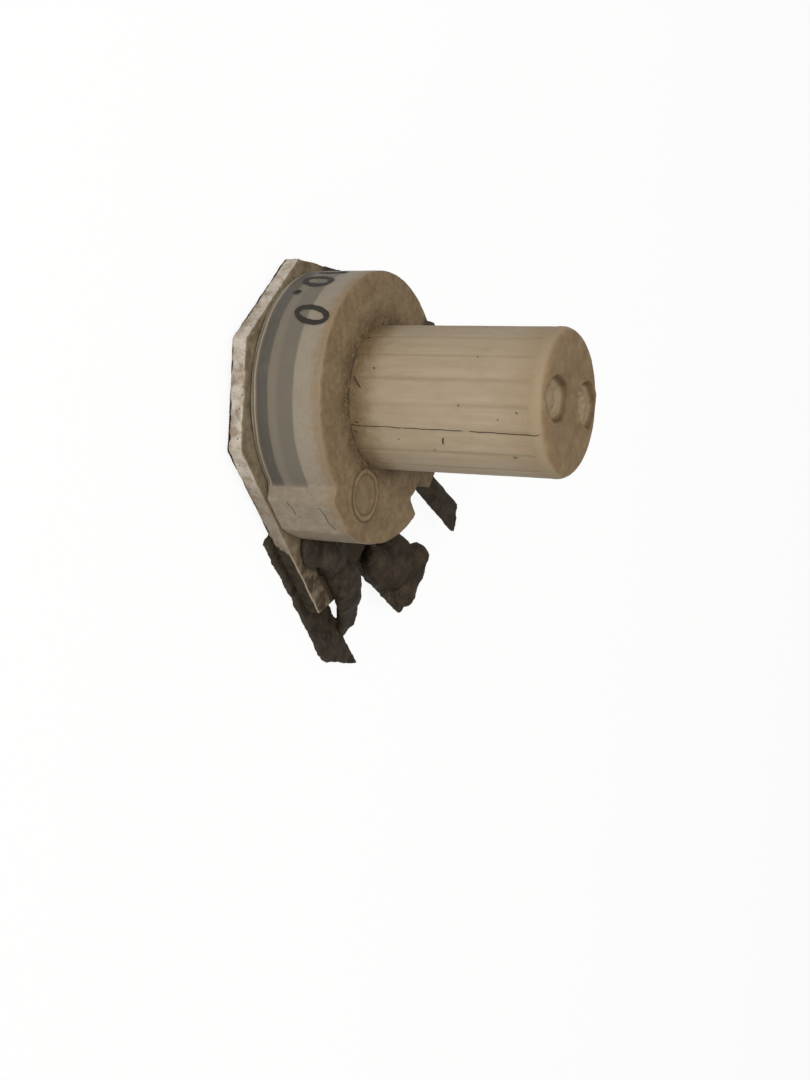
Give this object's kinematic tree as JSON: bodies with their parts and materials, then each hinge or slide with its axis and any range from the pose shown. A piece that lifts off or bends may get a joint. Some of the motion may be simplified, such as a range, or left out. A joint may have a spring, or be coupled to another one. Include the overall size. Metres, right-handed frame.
{
  "type": "multiturn potentiometer",
  "caption": "Small round multi-turn potentiometer with a fluted plastic spindle, geared wiper and flat solder terminals on a chamfered base plate.",
  "frame": {"origin": "on the spindle axis at the spindle shoulder, just above the housing front face", "axes": "+Z along the spindle axis away from the housing; -Y towards the terminals; +X to the right seen from the spindle end with the terminals down"},
  "size_m": [0.0184, 0.0281, 0.0194],
  "materials": {
    "laminate": "rough paper laminate, dirty",
    "nylon": "translucent milky nylon, aged",
    "spindle_nylon": "yellowed nylon",
    "steel": "plain",
    "gear_plastic": "moulded acetal",
    "spring_bronze": "rolled strip",
    "contact_carbon": "carbon",
    "track_carbon": "printed carbon film",
    "silver_print": "printed silver film",
    "terminal_metal": "tarnished tinned strip",
    "solder": "dull oxidised solder"
  },
  "bodies": {
    "root": {"base_plate": "laminate", "housing": "nylon", "spring_washer": "steel", "centre_pin": "steel", "idler_pin": "steel", "resistance_track": "track_carbon", "collector_track": "silver_print", "termination_left": "silver_print", "termination_right": "silver_print", "terminal_left": "terminal_metal", "terminal_middle": "terminal_metal", "terminal_right": "terminal_metal", "solder_left": "solder", "solder_middle": "solder", "solder_right": "solder"},
    "spindle": {"spindle": "spindle_nylon", "spindle_clip": "steel"},
    "idler": {"idler_gear": "gear_plastic"},
    "wiper": {"wiper_wheel": "gear_plastic", "wiper_spring": "spring_bronze", "contact_track": "contact_carbon", "contact_collector": "contact_carbon"}
  },
  "joints": [
    {"name": "spindle_turn", "type": "hinge", "parent": "root", "child": "spindle", "pos_m": [0, 0, 0], "axis": [0, 0, 1], "range_deg": [-1350, 1350]},
    {"name": "idler_turn", "type": "hinge", "parent": "root", "child": "idler", "pos_m": [0, 0.0036, -0.0035], "axis": [0, 0, 1], "range_deg": [-450, 450]},
    {"name": "wiper_turn", "type": "hinge", "parent": "root", "child": "wiper", "pos_m": [0, 0, -0.004], "axis": [0, 0, 1], "range_deg": [-150, 150]}
  ],
  "couplings": [
    {"joint": "idler_turn", "follows": "spindle_turn", "ratio": -0.33333},
    {"joint": "wiper_turn", "follows": "spindle_turn", "ratio": 0.11111}
  ]
}
